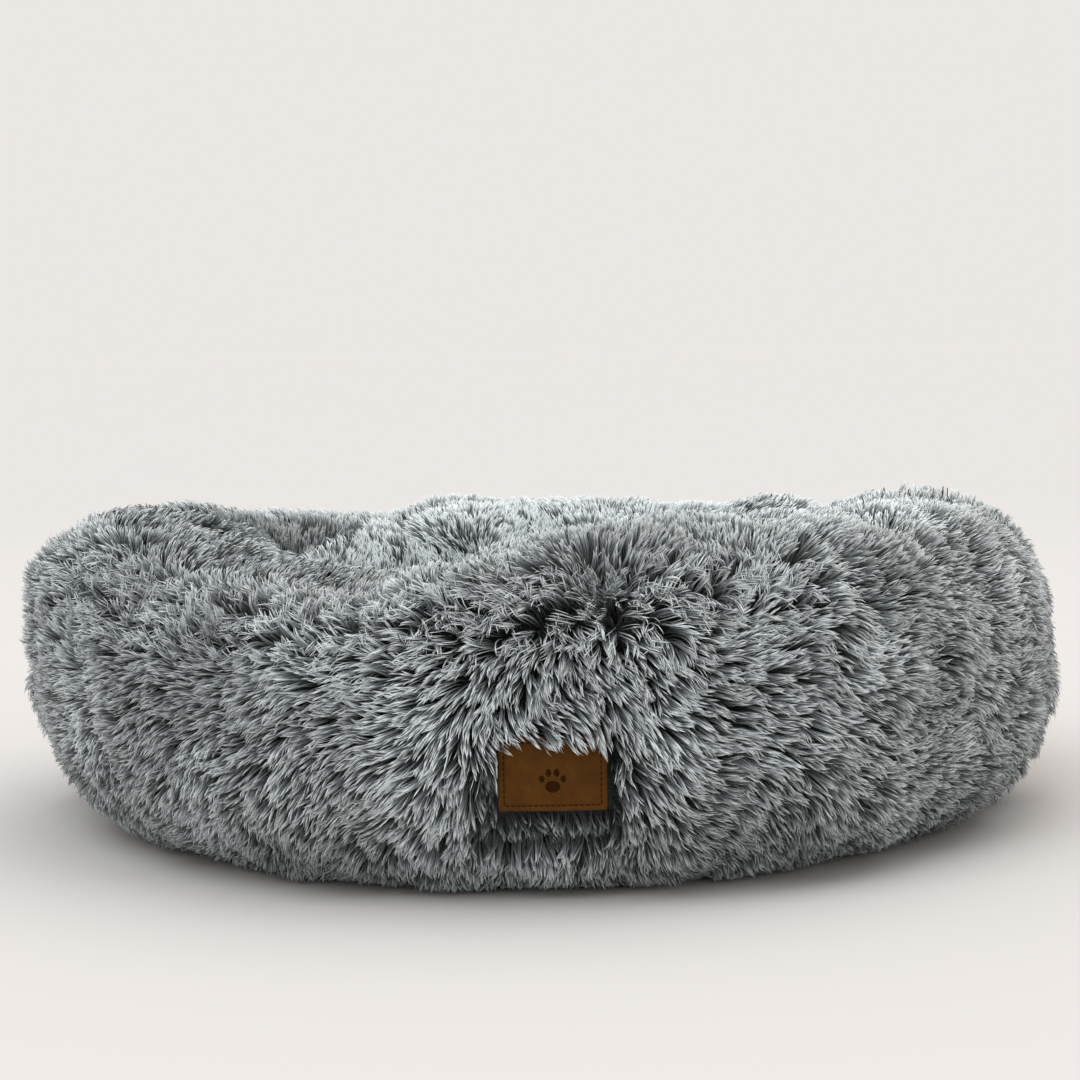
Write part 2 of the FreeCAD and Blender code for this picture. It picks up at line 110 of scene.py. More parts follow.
def turned(theta, radius, height):
    """Points at angles round the middle: 0 is the front (-Y), positive goes towards +X."""
    return np.stack([radius * np.sin(theta), -radius * np.cos(theta), height], 1)


def circle(count):
    return np.linspace(0, 2 * math.pi, count, endpoint=False)


def unit(vectors, least=0.0):
    return vectors / (np.linalg.norm(vectors, axis=-1, keepdims=True) + least)


def mesh_piece(name, points, faces, material, body):
    mesh = bpy.data.meshes.new(name)
    mesh.from_pydata(np.asarray(points, float).tolist(), [], faces)
    mesh.polygons.foreach_set("use_smooth", [True] * len(faces))
    mesh.update()
    thing = bpy.data.objects.new(name, mesh)
    bpy.context.collection.objects.link(thing)
    mesh.materials.append(material)
    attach(thing, body)
    return thing


def grid_faces(rows, columns, wrap=False, start=0, flip=False):
    """Quads over a grid of points stored row by row; wrap joins the last column to the first."""
    faces = []
    for i in range(rows - 1):
        for j in range(columns if wrap else columns - 1):
            k = (j + 1) % columns
            quad = (i * columns + j, i * columns + k, (i + 1) * columns + k, (i + 1) * columns + j)
            quad = tuple(start + v for v in quad)
            faces.append(quad[::-1] if flip else quad)
    return faces


def turned_faces(turns, steps):
    """Quads over a skin right round the middle, stored as one profile of points after another."""
    faces = []
    for i in range(turns):
        for k in range(steps - 1):
            here, there = i * steps + k, (i + 1) % turns * steps + k
            faces.append((here, there, there + 1, here + 1))
    return faces


# ---- smooth noise

class Noise:
    """Seeded smooth noise in 3D, from a few random plane waves. Its spread is about 1."""

    def __init__(self, seed, scale, waves=14):
        draw = np.random.default_rng(seed)
        direction = draw.normal(size=(waves, 3))
        direction /= np.linalg.norm(direction, axis=1)[:, None]
        pitch = draw.uniform(0.6, 1.5, waves)[:, None]
        self.wave = direction * pitch * (2 * math.pi / scale)
        self.phase = draw.uniform(0, 2 * math.pi, waves)
        self.gain = math.sqrt(2.0 / waves)

    def __call__(self, points):
        total = np.zeros(len(points))
        for wave, phase in zip(self.wave, self.phase):
            total += np.sin(points @ wave + phase)
        return total * self.gain


# ---- the ring's form

# Angles run from the front (-Y), positive towards +X, in degrees. The crest isn't level: each pair
# is an angle and how far the tips there stand above or below the designed crest, in metres.
CREST_LIFT = [
    (-180, -0.002), (-168, -0.007), (-155, -0.014), (-146, -0.009), (-138, -0.012), (-127, -0.011),
    (-112, 0.004), (-96, 0.011), (-77, 0.014), (-66, 0.012), (-55, 0.003), (-45, -0.019),
    (-20, -0.021), (-12, -0.011), (-5, 0.004), (4, 0.013), (60, 0.013), (90, 0.008),
    (115, -0.004), (135, -0.013), (150, -0.013), (165, -0.012), (180, -0.002),
]

# Where the stuffing pulls in: (angle, place up the wall, half width, depth), metres. The place is
# 0 at the outer foot, 1 at the widest point, 2 on the crest and 3 where the nest's wall is upright.
PUCKERS = [
    (7, 1.54, 0.027, 0.020), (-8.5, 1.56, 0.018, 0.014), (-62, 1.45, 0.020, 0.013),
    (-84, 1.62, 0.022, 0.010), (42, 1.80, 0.028, 0.008), (-99, 2.12, 0.028, 0.022),
    (-119, 2.50, 0.026, 0.024), (-134, 2.24, 0.026, 0.020), (-101, 2.66, 0.026, 0.020),
    (155, 2.30, 0.034, 0.010), (-174, 1.40, 0.034, 0.010), (128, 1.55, 0.032, 0.012),
]

# Gathers that run over the crest into the nest: (angle, half width in degrees, depth).
GATHERS = [
    (27, 6.0, 0.007), (57, 6.0, 0.008), (-48, 6.0, 0.006),
    (-152, 5.0, 0.010), (-171, 6.0, 0.006), (166, 5.0, 0.010),
    (145, 6.0, 0.006), (120, 6.0, 0.008), (95, 6.0, 0.007),
]

# The far left of the nest's wall is slack: a scoop under the crest, bounded by a slanting ridge.
SCOOP_DEPTH = 0.024
SCOOP_FROM = -108
SCOOP_TO = -166
SCOOP_SLANT = 62
# The right side sags outwards low down.
FOOT_SWELL = 0.009
FOOT_SWELL_AT = 70

SHOULDER_POWER = 2.7
SIDE_POWER = 1.4
lump_noise = Noise(SEED + 1, 0.16)
fine_lumps = Noise(SEED + 2, 0.06)


def ring_section(theta, u):
    """Radius and height of the backing's plain section: u runs 0 at the outer foot, 1 at the
    widest point, 2 at the crest, 3 where the nest's wall turns upright and 4 at its floor."""
    low_turn = (1 - u) * (math.pi / 2) * 0.9
    turn = (u - 1) * (math.pi / 2)
    sides = bump(around(theta, -88), 45) + 0.5 * bump(around(theta, 90), 45)
    power = 2 / (SHOULDER_POWER + SIDE_POWER * sides)
    cos_up = np.abs(np.cos(turn)) ** power
    sin_up = np.abs(np.sin(turn)) ** power
    in_turn = (u - 2) * (math.pi / 2)
    foot_rise = TUBE - 0.002
    outer_r = np.where(u < 1, (TUBE - PILE) * np.cos(low_turn), (TUBE - PILE) * cos_up)
    outer_z = np.where(u < 1, TUBE - foot_rise * np.sin(low_turn), TUBE + (TUBE - PILE) * sin_up)
    inner_r = CREST_R - (INNER_ARC - PILE) * np.sin(in_turn)
    inner_z = INNER_Z + (INNER_ARC - PILE) * np.cos(in_turn)
    wall_r = NEST + PILE
    wall_z = INNER_Z + (BASE_Z - INNER_Z) * (u - 3)
    radius = np.where(u < 2, CREST_R + outer_r, np.where(u < 3, inner_r, wall_r))
    height = np.where(u < 2, outer_z, np.where(u < 3, inner_z, wall_z))
    return radius, height


def crest_lift(theta):
    """The crest's rise or dip at each angle, eased between the listed places."""
    degrees = around(theta, 0)
    places, lifts = np.array(CREST_LIFT).T
    index = np.clip(np.searchsorted(places, degrees, side="right") - 1, 0, len(places) - 2)
    share = smooth(0, 1, (degrees - places[index]) / (places[index + 1] - places[index]))
    return lifts[index] * (1 - share) + lifts[index + 1] * share


def pucker_shares(theta, u):
    """Each pucker's depth with how near a place is to it, from 0 to 1."""
    for centre, place, half_width, depth in PUCKERS:
        across = np.radians(around(theta, centre)) * CREST_R * (1 + 0.25 * (place < 2))
        along = (u - place) * 0.15
        distance = np.hypot(across, along)
        yield depth, np.exp(-((distance / half_width) ** 2) * 2.2)


def scoop_share(theta, u):
    """How far a place is inside the scoop in the far left wall, from 0 to 1."""
    degrees = around(theta, 0)
    ridge = SCOOP_TO + np.clip(u - 2, 0, 1) * SCOOP_SLANT
    share = smooth(-3.5, 3.5, degrees - ridge) * (1 - smooth(-8, 8, degrees - SCOOP_FROM))
    return share * smooth(1.85, 2.25, u) * (1 - smooth(2.7, 3.0, u))


def ring_push(theta, u, flat):
    """How far the surface is pushed out of its plain section by puckers, gathers and lumps."""
    push = 0.0035 * lump_noise(flat) + 0.0016 * fine_lumps(flat)
    for centre, half_width, depth in GATHERS:
        push = push - depth * bump(around(theta, centre), half_width) * hill(u, 2.3, 0.42)
    pulled = sum(depth * share for depth, share in pucker_shares(theta, u))
    full_foot = FOOT_SWELL * bump(around(theta, FOOT_SWELL_AT), 40) * bump(u - 0.4, 0.45)
    return push - pulled - SCOOP_DEPTH * scoop_share(theta, u) + full_foot


def ring_point(theta, u):
    """Points on the ring's backing, with its swells and gathers."""
    radius, height = ring_section(theta, u)
    above = np.clip((height - TUBE * 0.6) / (CREST_Z - TUBE * 0.6), 0, None)
    height = height + crest_lift(theta) * smooth(0, 1, above)
    from_middle_r = radius - CREST_R
    from_middle_z = height - TUBE
    length = np.hypot(from_middle_r, from_middle_z) + 1e-9
    flat = turned(theta, radius, height)
    upright = smooth(0.0, 0.8, u) * (1 - smooth(3.0, 3.3, u))
    push = ring_push(theta, u, flat) * upright
    behind_zip = 1 - smooth(CHANNEL_ANGLE - 1, CHANNEL_ANGLE + 2, np.abs(around(theta, 180)))
    behind_zip = behind_zip * (1 - smooth(0.014, 0.022, np.abs(height - ZIP_MIDDLE))) * (u < 1.5)
    clipped = (filling_r + CHANNEL_SKIN) - radius
    push = push * (1 - behind_zip) + clipped * behind_zip
    radius = radius + push * from_middle_r / length
    height = height + push * from_middle_z / length
    return turned(theta, radius, height)


def ring_frame(theta, u):
    """Root point, outward normal, the direction round the ring (+theta) and up the wall (+u)."""
    step_t, step_u = 0.004, 0.01
    root = ring_point(theta, u)
    round_way = unit(ring_point(theta + step_t, u) - ring_point(theta - step_t, u))
    above = ring_point(theta, np.minimum(u + step_u, 4.0))
    up_way = unit(above - ring_point(theta, u - step_u))
    return root, unit(np.cross(round_way, up_way)), round_way, up_way


# ---- materials

class Look:
    """A material in the making: its nodes, and short ways to add the usual ones."""

    def __init__(self, name):
        self.material = bpy.data.materials.new(name)
        self.material.use_nodes = True
        self.nodes = self.material.node_tree.nodes

    def feed(self, node, inputs):
        """Set a node's inputs, each from a number, a colour or another node's output."""
        for name, value in inputs.items():
            if isinstance(value, bpy.types.NodeSocket):
                self.material.node_tree.links.new(value, node.inputs[name])
            else:
                node.inputs[name].default_value = value

    def add(self, kind, output, inputs, **settings):
        node = self.nodes.new("ShaderNode" + kind)
        for name, value in settings.items():
            setattr(node, name, value)
        self.feed(node, inputs)
        return node.outputs[output]

    def place(self):
        return self.add("TexCoord", "Object", {})

    def math(self, operation, *values):
        return self.add("Math", "Value", dict(enumerate(values)), operation=operation)

    def noise(self, place, scale, detail=4.0, roughness=0.6):
        inputs = {"Scale": scale, "Detail": detail, "Roughness": roughness}
        if place is not None:
            inputs["Vector"] = place
        return self.add("TexNoise", "Fac", inputs)

    def stretch(self, value, low, high):
        """Stretch a value between 0 and 1 to run from low to high."""
        return self.add("MapRange", "Result", {"Value": value, "To Min": low, "To Max": high})

    def ramp(self, value, stops, kind="LINEAR"):
        node = self.nodes.new("ShaderNodeValToRGB")
        node.color_ramp.interpolation = kind
        elements = node.color_ramp.elements
        while len(elements) < len(stops):
            elements.new(0.5)
        for element, (place, colour) in zip(elements, stops):
            element.position = place
            element.color = (*colour, 1)
        self.feed(node, {"Fac": value})
        return node.outputs["Color"]

    def rough(self, height, strength, depth):
        """The normal of a surface made uneven by height."""
        return self.add(
            "Bump", "Normal", {"Strength": strength, "Distance": depth, "Height": height}
        )

    def finish(self, inputs):
        self.feed(self.nodes["Principled BSDF"], inputs)
        return self.material


def fur_material(name, root, middle, tip):
    """Two-tone pile: dark at the root, silvery at the tip, and lighter or darker by the lock."""
    look = Look(name)
    place = look.add("UVMap", "UV", {}, uv_map="OFBake")
    tone = look.add("SeparateXYZ", "X", {"Vector": place})
    height = look.add("SeparateXYZ", "Y", {"Vector": place})
    dark = tuple(0.35 * c for c in middle)
    along = look.ramp(height, [(0.0, root), (0.38, dark), (0.66, middle), (0.90, tip)], "EASE")
    toned = look.add(
        "Mix", "Result", {"Factor": 1.0, "A": along, "B": look.stretch(tone, 0.22, 1.50)},
        data_type="RGBA", blend_type="MULTIPLY",
    )
    return look.finish({
        "Base Color": toned,
        "Roughness": 0.55,
        "Specular IOR Level": 0.35,
        "Sheen Weight": 0.15,
        "Sheen Roughness": 0.4,
    })


def backing_material():
    """The knitted backing that shows only as darkness between the locks."""
    look = Look("fur_backing")
    knit = look.noise(None, 260, 4, 0.5)
    shade = look.ramp(knit, [(0.3, (0.010, 0.012, 0.013)), (0.75, (0.035, 0.040, 0.042))])
    return look.finish({"Base Color": shade, "Roughness": 0.95})


SILVER_FUR = fur_material(
    "silver_fur", (0.016, 0.020, 0.022), (0.170, 0.196, 0.203), (0.585, 0.635, 0.650)
)
BACKING = backing_material()


# ---- fur

def near_clumps(across, along, pitch, seed):
    """For points in a plane of metres, the nearest of a jittered lattice of clump centres, as the
    offset to it and its own number, for making locks."""
    cell_a = np.floor(across / pitch).astype(np.int64)
    cell_b = np.floor(along / pitch).astype(np.int64)
    best = np.full(len(across), 1e9)
    offset = np.zeros((len(across), 2))
    number = np.zeros(len(across), np.int64)
    for da in (-1, 0, 1):
        for db in (-1, 0, 1):
            a, b = cell_a + da, cell_b + db
            key = (a * 73856093) ^ (b * 19349663) ^ (seed * 83492791)
            one = ((key * 2654435761) % 4294967296) / 4294967296
            two = ((key * 2246822519 + 374761393) % 4294967296) / 4294967296
            way = np.stack([(a + one) * pitch - across, (b + two) * pitch - along], 1)
            distance = (way * way).sum(1)
            nearer = distance < best
            best[nearer], offset[nearer], number[nearer] = distance[nearer], way[nearer], key[nearer]
    return offset, number


def chance(number, salt):
    """A repeatable fraction between 0 and 1 for each clump number."""
    return ((np.abs(number) * 2654435761 + salt * 97531) % 1000003) / 1000003


# Where along a strand its points are, and how wide it is there; a curled strand has more of them.
STRAND_STEPS = (0.0, 0.42, 0.86, 1.0)
STRAND_GIRTH = (0.80, 1.0, 0.90, 0.0)
CURL_STEPS = (0.0, 0.30, 0.48, 0.64, 0.79, 0.92, 1.0)
CURL_GIRTH = (0.80, 0.95, 1.0, 0.95, 0.85, 0.65, 0.0)
CURL_TURNS = 4.6


def strands(name, root, normal, comb, rise, lean, width, tone, clump, wave, limit, curl=None):
    """Make one mesh of flat tapering strands.

    comb is the unit direction in the surface that each strand leans towards, rise is how far its
    tip stands off the backing and lean how far the tip lies along the comb. clump is the shift of
    the tip towards its lock, wave a sideways swing, and limit trims tips to their room. curl is
    each strand's curl as a size and a starting angle, or None for straight pile."""
    count = len(root)
    side = np.cross(comb, normal)
    tip = root + normal * rise[:, None] + comb * lean[:, None] + clump
    bend = root + normal * (rise * 0.95)[:, None] + comb * (lean * 0.25)[:, None] + clump * 0.25
    bend += side * wave[:, None]
    tip = limit(tip)
    bend = limit(bend)
    steps, girth = STRAND_STEPS, STRAND_GIRTH
    if curl is not None:
        steps, girth = CURL_STEPS, CURL_GIRTH
    last = len(steps) - 1
    points = []
    for t in steps:
        point = (1 - t) ** 2 * root + 2 * t * (1 - t) * bend + t * t * tip
        if curl is not None:
            turn = curl[1] + t * CURL_TURNS
            size = curl[0] * t
            point = point + side * (np.sin(turn) * size)[:, None]
            point = limit(point + normal * (np.cos(turn) * size * 0.4)[:, None])
        points.append(point)
    twist = rng.normal(0, 0.5, count)
    rows = []
    shades = []
    for k, point in enumerate(points):
        ahead = unit(points[min(k + 1, last)] - points[max(k - 1, 0)], 1e-12)
        face = normal * np.cos(twist)[:, None] + side * np.sin(twist)[:, None]
        across = unit(np.cross(ahead, face), 1e-12)
        outward = np.cross(across, ahead)
        outward *= np.sign((outward * normal).sum(1))[:, None] + 1e-9
        half = across * (width * girth[k] / 2)[:, None]
        if k < last:
            rows += [point + half, point - half]
            shades += [outward * 0.8 + across * 0.45, outward * 0.8 - across * 0.45]
        else:
            rows.append(point)
            shades.append(outward)
    vertices = np.stack(rows, 1).reshape(-1, 3)
    shading = unit(np.stack(shades, 1) * 0.65 + normal[:, None, :] * 0.5).reshape(-1, 3)
    base = np.arange(count)[:, None] * (2 * last + 1)
    quads = np.array([[2 * k, 2 * k + 1, 2 * k + 3, 2 * k + 2] for k in range(last - 1)])
    tips = np.array([[2 * last - 2, 2 * last - 1, 2 * last]])
    flip = (np.cross(rows[1] - rows[0], rows[3] - rows[0]) * normal).sum(1) < 0
    loops = []
    for corners in (quads, tips):
        faces = base[:, :, None] + corners[None]
        faces[flip] = faces[flip][:, :, ::-1]
        loops.append(faces.reshape(count, -1))
    loops = np.concatenate(loops, 1).ravel()
    sizes = np.tile([4] * (last - 1) + [3], count)
    starts = np.concatenate([[0], np.cumsum(sizes)[:-1]])
    mesh = bpy.data.meshes.new(name)
    mesh.vertices.add(len(vertices))
    mesh.vertices.foreach_set("co", vertices.astype(np.float32).ravel())
    mesh.loops.add(len(loops))
    mesh.loops.foreach_set("vertex_index", loops.astype(np.int32))
    mesh.polygons.add(len(sizes))
    mesh.polygons.foreach_set("loop_start", starts.astype(np.int32))
    mesh.polygons.foreach_set("use_smooth", np.ones(len(sizes), bool))
    mesh.update(calc_edges=True)
    along = np.repeat(steps, 2)[:-1]
    place = np.empty((count, 2 * last + 1, 2), np.float32)
    place[:, :, 0] = np.clip(tone, 0.01, 0.99)[:, None]
    place[:, :, 1] = along * 0.98 + 0.01
    layer = mesh.uv_layers.new(name="OFBake")
    layer.data.foreach_set("uv", place.reshape(-1, 2)[loops].ravel())
    mesh.normals_split_custom_set_from_vertices(shading.astype(np.float32))
    mesh.materials.append(SILVER_FUR)
    thing = bpy.data.objects.new(name, mesh)
    bpy.context.collection.objects.link(thing)
    return thing


# ---- the ring's fur

# Strands to the square metre: more where the bed shows its front, fewer behind.
FRONT_DENSITY = 540_000
REAR_DENSITY = 340_000
INNER_DENSITY = 500_000
# The pile parts at a whorl high on the front; lower down the parting lies further left.
WHORL_PLACE = 1.5
WHORL_HIGH = math.radians(7)
WHORL_LOW = math.radians(-6)
comb_noise = Noise(SEED + 3, 0.07)
comb_patches = Noise(SEED + 4, 0.16)
rise_noise = Noise(SEED + 5, 0.05)
tone_noise = Noise(SEED + 6, 0.09)


def comb_direction(theta, u, root, round_way, up_way):
    """Pile brushed away from a whorl high on the front, back over the crest, and down behind, with
    how strongly it is brushed: where two naps meet, it stands."""
    radius = np.hypot(root[:, 0], root[:, 1])
    whorl = WHORL_LOW + (WHORL_HIGH - WHORL_LOW) * smooth(0.95, 1.42, u)
    across = (theta - whorl) * radius * 1.5
    rise = (u - WHORL_PLACE) * np.where(u > WHORL_PLACE, 0.30, 0.17)
    from_whorl = np.hypot(across, rise) + 1e-6
    out_across = across / from_whorl
    out_up = rise / from_whorl
    over_left = smooth(1.62, 1.80, u) * (1 - smooth(-0.12, 0.12, theta))
    out_across = out_across * (1 - over_left) + 0.45 * over_left
    out_up = out_up * (1 - over_left) + 0.85 * over_left
    front = 1 - smooth(math.radians(75), math.radians(125), np.abs(theta))
    rear_up = -1.0 + 0.15 * smooth(1.5, 2.5, u)
    turn_across = front * out_across + (1 - front) * 0.22 * np.sin(2.3 * theta)
    turn_up = front * out_up + (1 - front) * rear_up - 0.10 * (u < 1.3)
    swing = 0.24 * comb_patches(root) + 0.20 * comb_noise(root)
    cos_s, sin_s = np.cos(swing), np.sin(swing)
    a = turn_across * cos_s - turn_up * sin_s
    b = turn_across * sin_s + turn_up * cos_s
    comb = round_way * a[:, None] + up_way * b[:, None]
    strength = np.linalg.norm(comb, axis=1)
    return comb / (strength[:, None] + 1e-9), np.clip(strength * 1.4, 0.15, 1.0)


def scatter_ring(theta_from, theta_to, u_from, u_to, density):
    """Random roots spread evenly by area over a patch of the ring."""
    tries_t = np.linspace(theta_from, theta_to, 60)
    tries_u = np.linspace(u_from, u_to, 60)
    grid_t, grid_u = np.meshgrid(tries_t, tries_u)
    flat_t, flat_u = grid_t.ravel(), grid_u.ravel()
    step = 0.002
    across = ring_point(flat_t + step, flat_u) - ring_point(flat_t, flat_u)
    along = ring_point(flat_t, flat_u + step) - ring_point(flat_t, flat_u)
    area = np.linalg.norm(np.cross(across, along), axis=1) / step / step
    most = area.max() * 1.05
    total = int(density * most * (theta_to - theta_from) * (u_to - u_from))
    theta = rng.uniform(theta_from, theta_to, total)
    u = rng.uniform(u_from, u_to, total)
    profile = area.reshape(60, 60).mean(1)
    here = np.interp(u, tries_u, profile)
    keep = rng.uniform(0, most, total) < here
    return theta[keep], u[keep]


# How deep behind the tag the roots are shaved, and how far the fringe hangs over its top.
TAG_REACH = 0.04
FRINGE = 0.010
FRINGE_GAP = 0.0036
# Hair this near the tag or the zip is trimmed short, and beside the tag it also gets painted shade.
TAG_TRIM = 0.014
CHANNEL_TRIM = 0.022
# Hair may stand this high, and no lower than the ground.
TOP_LIMIT = CREST_Z + 0.0155
LOW_LIMIT = 0.0015


def in_tag(points, margin):
    return (
        (points[:, 1] < tag_high[1] + TAG_REACH)
        & (points[:, 0] > tag_low[0] - margin)
        & (points[:, 0] < tag_high[0] + margin)
        & (points[:, 2] > tag_low[2] - margin)
        & (points[:, 2] < tag_high[2] + margin)
    )


def clear_of_tag(points):
    """Hair stays off the tag's face, apart from the fringe that hangs over its top."""
    out = points.copy()
    middle_z = (tag_low[2] + tag_high[2] - FRINGE) / 2
    tall = (tag_high[2] - tag_low[2] - FRINGE) / 2
    across = (out[:, 0] - TAG_MIDDLE[0]) / TAG_HALF[0]
    up = (out[:, 2] - middle_z) / tall
    inside = in_tag(out, 0.0) & (np.abs(across) < 1) & (np.abs(up) < 1)
    sideways = inside & (np.abs(across) > np.abs(up))
    upright = inside & ~sideways
    out[sideways, 0] = TAG_MIDDLE[0] + np.sign(across[sideways]) * TAG_HALF[0] * 1.01
    out[upright, 2] = middle_z + np.sign(up[upright]) * tall * 1.01
    fringe = in_tag(out, 0.0) & (out[:, 2] > tag_high[2] - FRINGE)
    out[fringe, 1] = np.minimum(out[fringe, 1], tag_low[1] - FRINGE_GAP)
    return out


def from_channel(points):
    """How far each place is past the zip channel's edge, upwards and round the ring, and whether
    it is on the outer wall."""
    theta = np.arctan2(points[:, 0], -points[:, 1])
    upwards = np.abs(points[:, 2] - ZIP_MIDDLE) - CHANNEL_HALF
    sideways = np.radians(np.abs(around(theta, 180)) - CHANNEL_ANGLE) * OUTER
    return upwards, sideways, np.hypot(points[:, 0], points[:, 1]) > CREST_R


def in_channel(points, margin):
    upwards, sideways, outside = from_channel(points)
    return outside & (upwards < margin) & (sideways < margin)


def near_channel(points):
    """How near a place on the outer wall is to the zip's channel: 1 beside it, 0 well away."""
    upwards, sideways, outside = from_channel(points)
    away = np.hypot(np.maximum(upwards, 0), np.maximum(sideways, 0))
    return (1 - smooth(0.3 * CHANNEL_TRIM, 1.6 * CHANNEL_TRIM, away)) * outside


def clear_of_channel(points):
    """Hair beside the zip's clipped channel stops at its edges."""
    out = points.copy()
    inside = in_channel(out, 0.001)
    edge = np.where(out[:, 2] > ZIP_MIDDLE, 1, -1) * (CHANNEL_HALF + 0.0015)
    out[inside, 2] = ZIP_MIDDLE + edge[inside]
    return out


def clear_of_nest(points):
    """Hair inside the nest leaves the loose cushion's way free."""
    out = points.copy()
    radius = np.hypot(out[:, 0], out[:, 1]) + 1e-9
    out[:, :2] *= np.maximum(1.0, (NEST + 0.0005) / radius)[:, None]
    return out


def clear_of_all(points):
    out = points.copy()
    out[:, 2] = np.clip(out[:, 2], LOW_LIMIT, TOP_LIMIT)
    return clear_of_nest(clear_of_channel(clear_of_tag(out)))


# How wide the bunches of hair are: wisps make up locks, and locks make up tufts. Each has a seed
# and how far its hairs' tips draw together.
BUNCHES = {"wisp": (0.0036, 5, 0.75), "lock": (0.0095, 3, 0.38), "tuft": (0.021, 7, 0.14)}
# A step of 1 up the wall is about this long.
WALL_STEP = 0.155
HAIR_LEAN = 0.0175
HAIR_WIDTH = (0.00058, 0.00105)
CURL_SIZE = 0.0042
# Roots keep this far from the tag and the channel, and start this far above the ground.
ROOT_GAP = 0.003
ROOT_LOW = 0.006
# The pile's middle tone, and how much darker the darkest quarter of its hairs is.
TONE = 0.63
DARK_HAIR = 0.30
# Where the pile is lighter or darker: (change, angle, half width in degrees, and between which
# places up the wall it comes in and goes out again).
TONE_PATCHES = [
    (0.05, -8, 25, (-2, -1), (5, 6)),
    (-0.18, 9, 20, (1.5, 1.7), (2.05, 2.25)),
    (-0.12, -25, 38, (1.5, 1.8), (2.3, 2.6)),
    (-0.10, 75, 45, (-2, -1), (1.5, 1.8)),
    (0.22, 60, 50, (1.6, 1.85), (5, 6)),
    (0.10, -160, 50, (2.1, 2.4), (5, 6)),
    (-0.05, -50, 45, (-2, -1), (1.9, 2.3)),
]


def pile_tone_with_painted_light(theta, u):
    """How much lighter or darker the pile is from place to place, apart from its own locks, with
    painted light over the crest and painted shade in the scoop and the puckers.
    """
    rear = smooth(math.radians(90), math.radians(118), np.abs(theta))
    # Painted light: the pile is lighter from the shoulder up over the crest and on down the nest's
    # wall.
    tone = 0.14 * smooth(1.5, 2.0, u) + 0.16 * smooth(1.9, 2.3, u)
    tone += 0.12 * rear * smooth(1.2, 1.8, u)
    tone -= 0.10 * hill(u, 1.62, 0.14) * bump(around(theta, 30), 50)
    tone -= 0.13 * bump(around(theta, -38), 32) * bump(u - 1.2, 0.55)
    for change, centre, half_width, comes, goes in TONE_PATCHES:
        share = bump(around(theta, centre), half_width) * smooth(*comes, u)
        tone += change * share * (1 - smooth(*goes, u))
    # Painted shade: darker in the scoop and in the puckers' creases.
    tone -= 0.60 * scoop_share(theta, u)
    return tone - 7 * sum(depth * share for depth, share in pucker_shares(theta, u))


